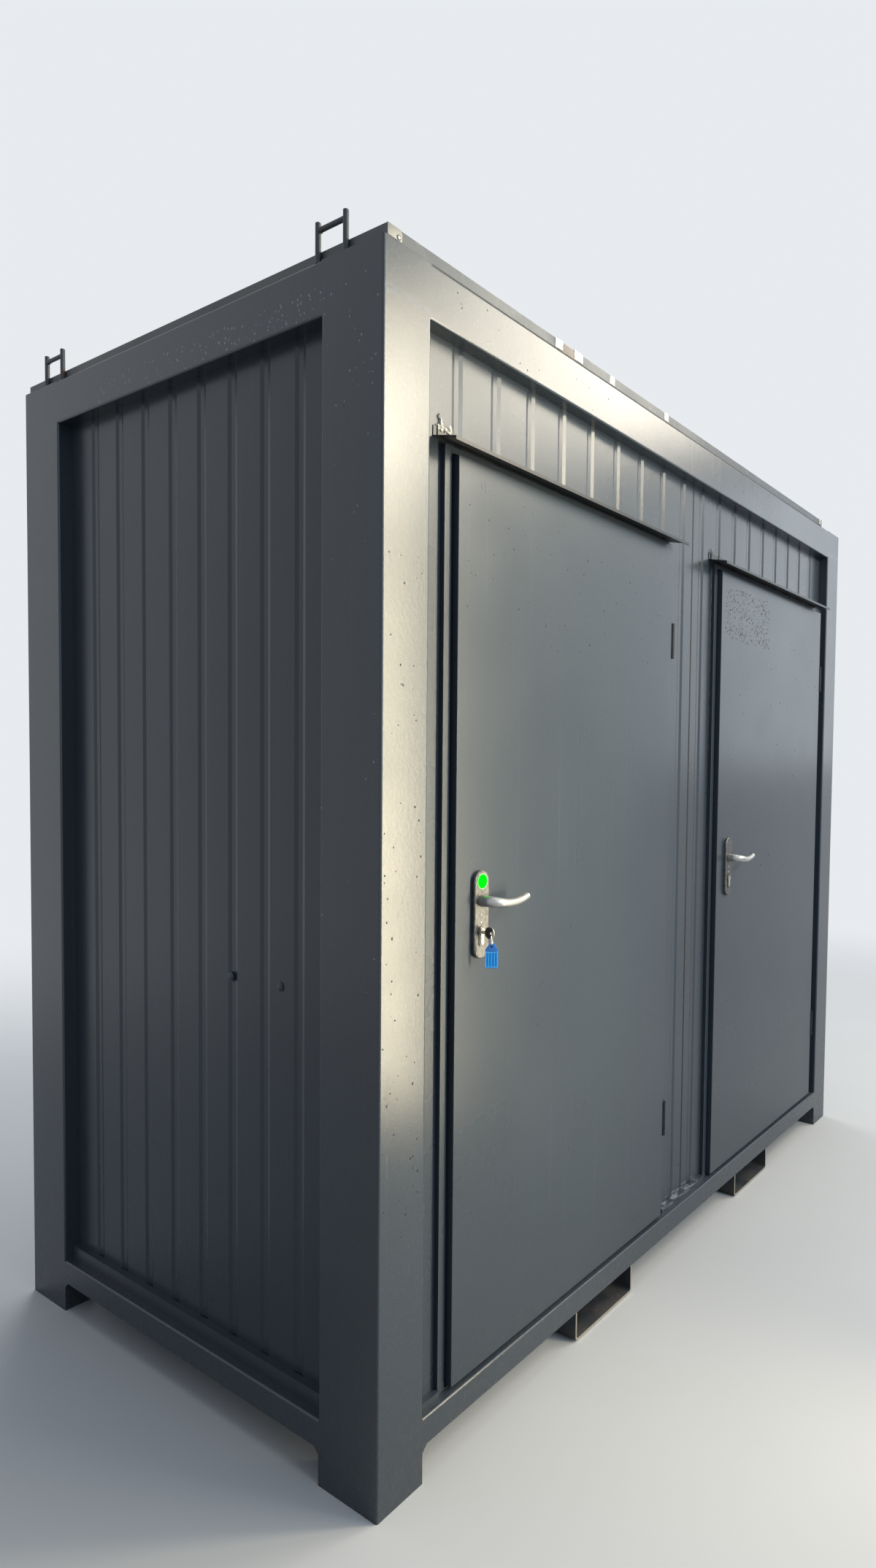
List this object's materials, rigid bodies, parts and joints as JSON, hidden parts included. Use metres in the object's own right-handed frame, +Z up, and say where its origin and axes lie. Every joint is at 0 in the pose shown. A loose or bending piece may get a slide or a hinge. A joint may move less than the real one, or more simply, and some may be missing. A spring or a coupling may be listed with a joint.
{
  "type": "portable site cabin",
  "caption": "Steel-framed portable cabin with grooved wall panels, outward-opening front doors, lever handles, fork pockets, drip canopies and roof lifting eyes.",
  "frame": {"origin": "on the ground under the middle of the overall plan, the projection of the door levers included", "axes": "+Z up, -Y out through the front with the doors, +X to the right of a person who faces the doors"},
  "size_m": [2.74, 1.492, 2.683],
  "materials": {
    "frame_paint": "satin",
    "cladding_paint": "satin",
    "flashing_paint": "satin",
    "door_paint": "satin",
    "hinge_paint": "satin",
    "stainless_steel": "satin",
    "nickel_plate": "satin",
    "green_plastic": "gloss",
    "blue_plastic": "gloss",
    "floor_board": "matte",
    "base_steel": "satin",
    "ceiling_white": "matte",
    "roof_steel": "satin"
  },
  "bodies": {
    "cabin": {"corner_post_front_left": "frame_paint", "corner_post_front_right": "frame_paint", "corner_post_back_left": "frame_paint", "corner_post_back_right": "frame_paint", "top_rail_front": "frame_paint", "top_rail_back": "frame_paint", "top_rail_left": "frame_paint", "top_rail_right": "frame_paint", "bottom_rail_front": "frame_paint", "bottom_rail_back": "frame_paint", "bottom_rail_left": "frame_paint", "bottom_rail_right": "frame_paint", "end_wall_left": "cladding_paint", "end_wall_right": "cladding_paint", "back_wall": "cladding_paint", "front_wall_over_left": "cladding_paint", "front_wall_over_right": "cladding_paint", "front_wall_beside": "cladding_paint", "front_wall_middle_left": "cladding_paint", "front_wall_middle_right": "cladding_paint", "foot_flashings": "flashing_paint", "drip_canopies": "flashing_paint", "door_frame_left": "door_paint", "door_frame_right": "door_paint", "hinge_frame_halves": "hinge_paint", "floor_deck": "floor_board", "floor_bearers": "base_steel", "fork_pockets": "base_steel", "lifting_eyes": "base_steel", "ceiling_panel": "ceiling_white", "roof_deck": "roof_steel", "roof_sheet": "roof_steel"},
    "door_left": {"door_leaf_left": "door_paint", "hinge_leaf_halves_left": "hinge_paint", "handle_plates_left": "stainless_steel", "lock_cylinder_left": "nickel_plate", "door_key": "nickel_plate", "occupancy_indicator": "green_plastic", "key_tag": "blue_plastic"},
    "door_right": {"door_leaf_right": "door_paint", "hinge_leaf_halves_right": "hinge_paint", "handle_plates_right": "stainless_steel", "lock_cylinder_right": "nickel_plate"},
    "lever_left": {"lever_left": "stainless_steel"},
    "lever_right": {"lever_right": "stainless_steel"}
  },
  "joints": [
    {"name": "door_left_hinge", "type": "hinge", "parent": "cabin", "child": "door_left", "pos_m": [-0.14, -0.681, 1.2], "axis": [0, 0, 1], "range_deg": [0, 95]},
    {"name": "door_right_hinge", "type": "hinge", "parent": "cabin", "child": "door_right", "pos_m": [1.201, -0.681, 1.2], "axis": [0, 0, 1], "range_deg": [0, 95]},
    {"name": "lever_left_turn", "type": "hinge", "parent": "door_left", "child": "lever_left", "pos_m": [-1.054, -0.694, 1.259], "axis": [0, 1, 0], "range_deg": [0, 40], "stiffness_Nm_per_rad": 2, "springref_deg": -17.19},
    {"name": "lever_right_turn", "type": "hinge", "parent": "door_right", "child": "lever_right", "pos_m": [0.287, -0.694, 1.259], "axis": [0, 1, 0], "range_deg": [0, 40], "stiffness_Nm_per_rad": 2, "springref_deg": -17.19}
  ]
}
